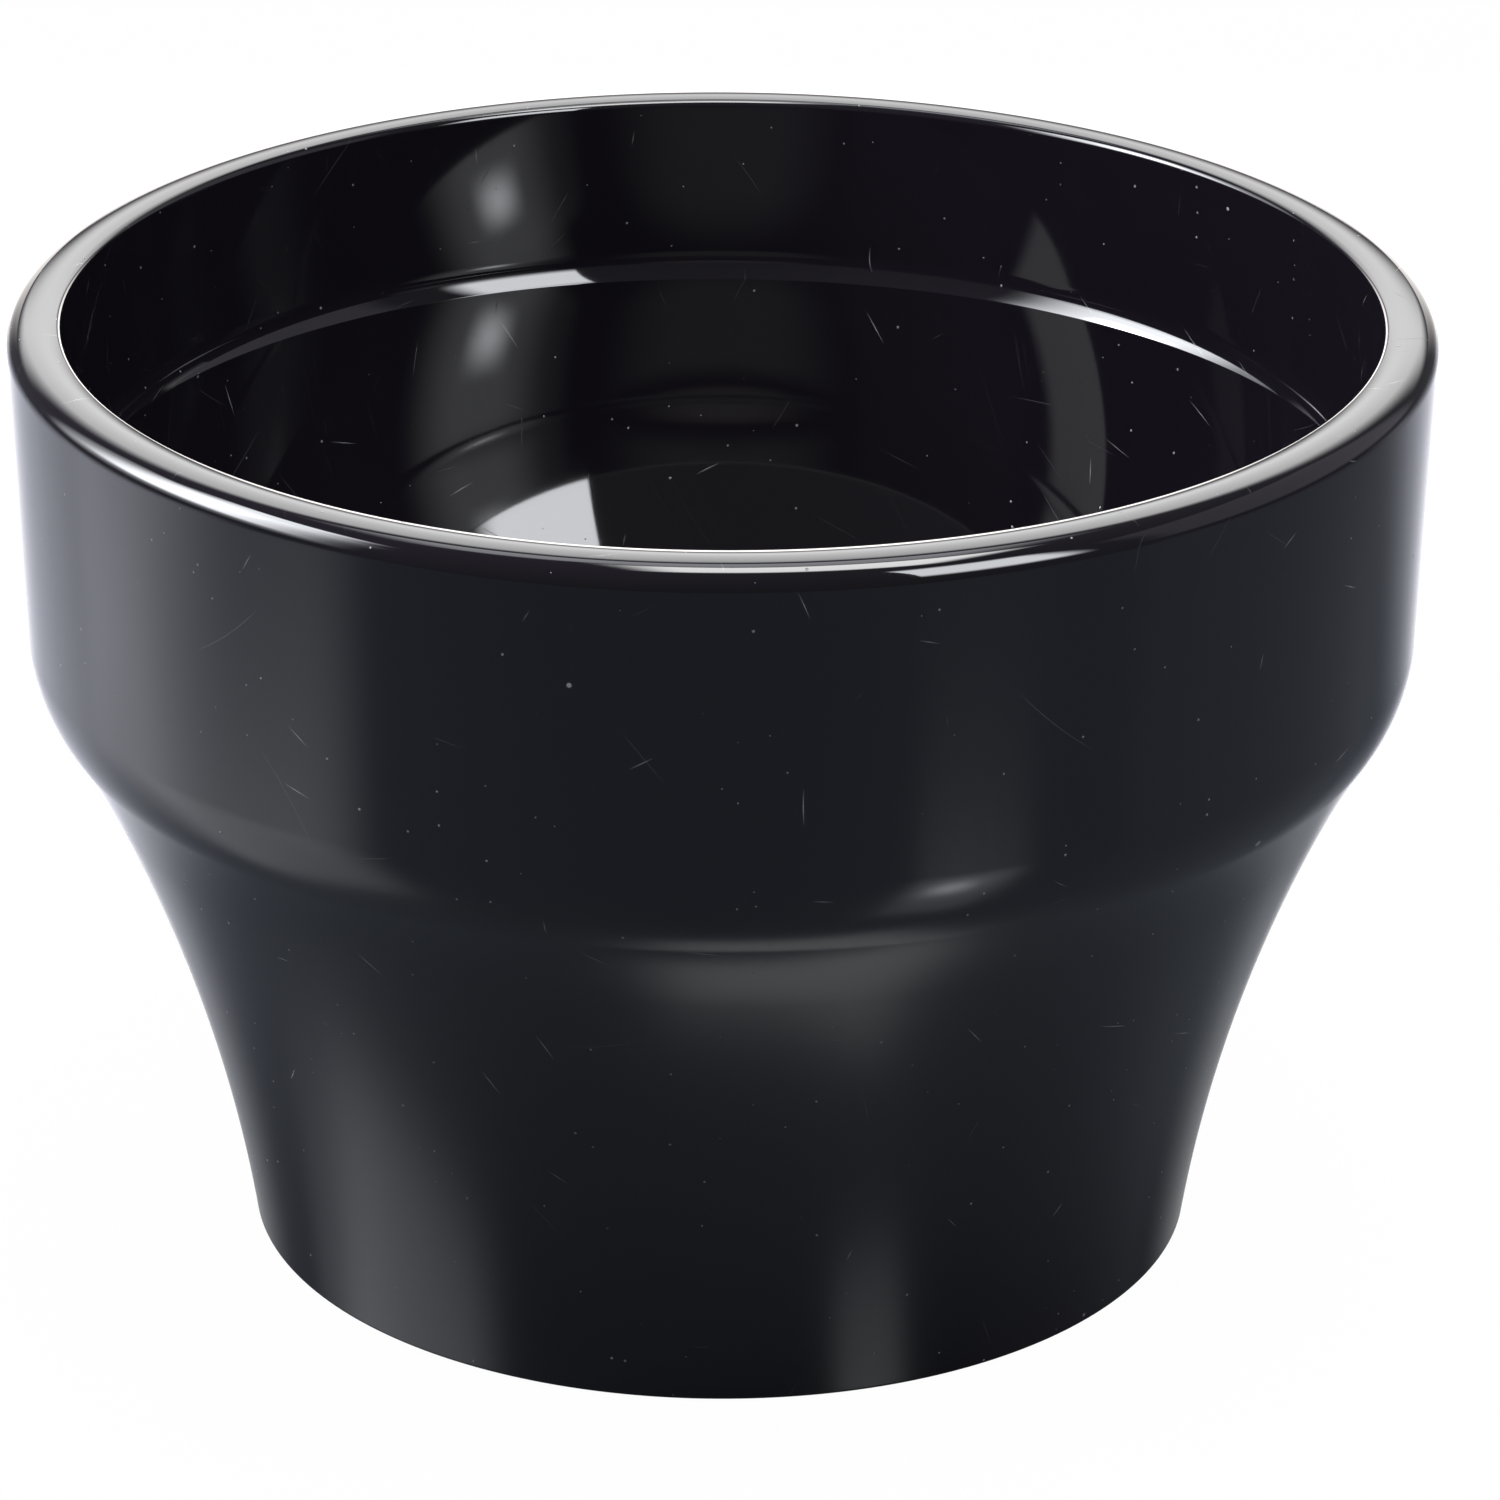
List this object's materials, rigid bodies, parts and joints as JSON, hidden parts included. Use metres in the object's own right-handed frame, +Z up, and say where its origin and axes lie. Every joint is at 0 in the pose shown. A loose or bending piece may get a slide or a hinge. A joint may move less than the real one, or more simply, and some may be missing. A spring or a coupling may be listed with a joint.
{
  "type": "hair color bowl",
  "caption": "Round gloss-black mixing bowl for hair color, with a straight tapered band, a rounded shoulder, a flared foot, a stepped round inside and a soft non-slip ring.",
  "frame": {"origin": "centre of the flat surface that the bowl stands on, on the bowl's axis", "axes": "+Z up along the bowl's axis, out of its mouth; X and Y are any two level directions, because the bowl is round"},
  "size_m": [0.12, 0.12, 0.0825],
  "materials": {
    "black_gloss_plastic": "polished moulded plastic, near-black, with fine scratches and dust",
    "black_rubber": "matt soft rubber"
  },
  "bodies": {
    "root": {"bowl_body": "black_gloss_plastic", "non_slip_ring": "black_rubber"}
  },
  "joints": []
}
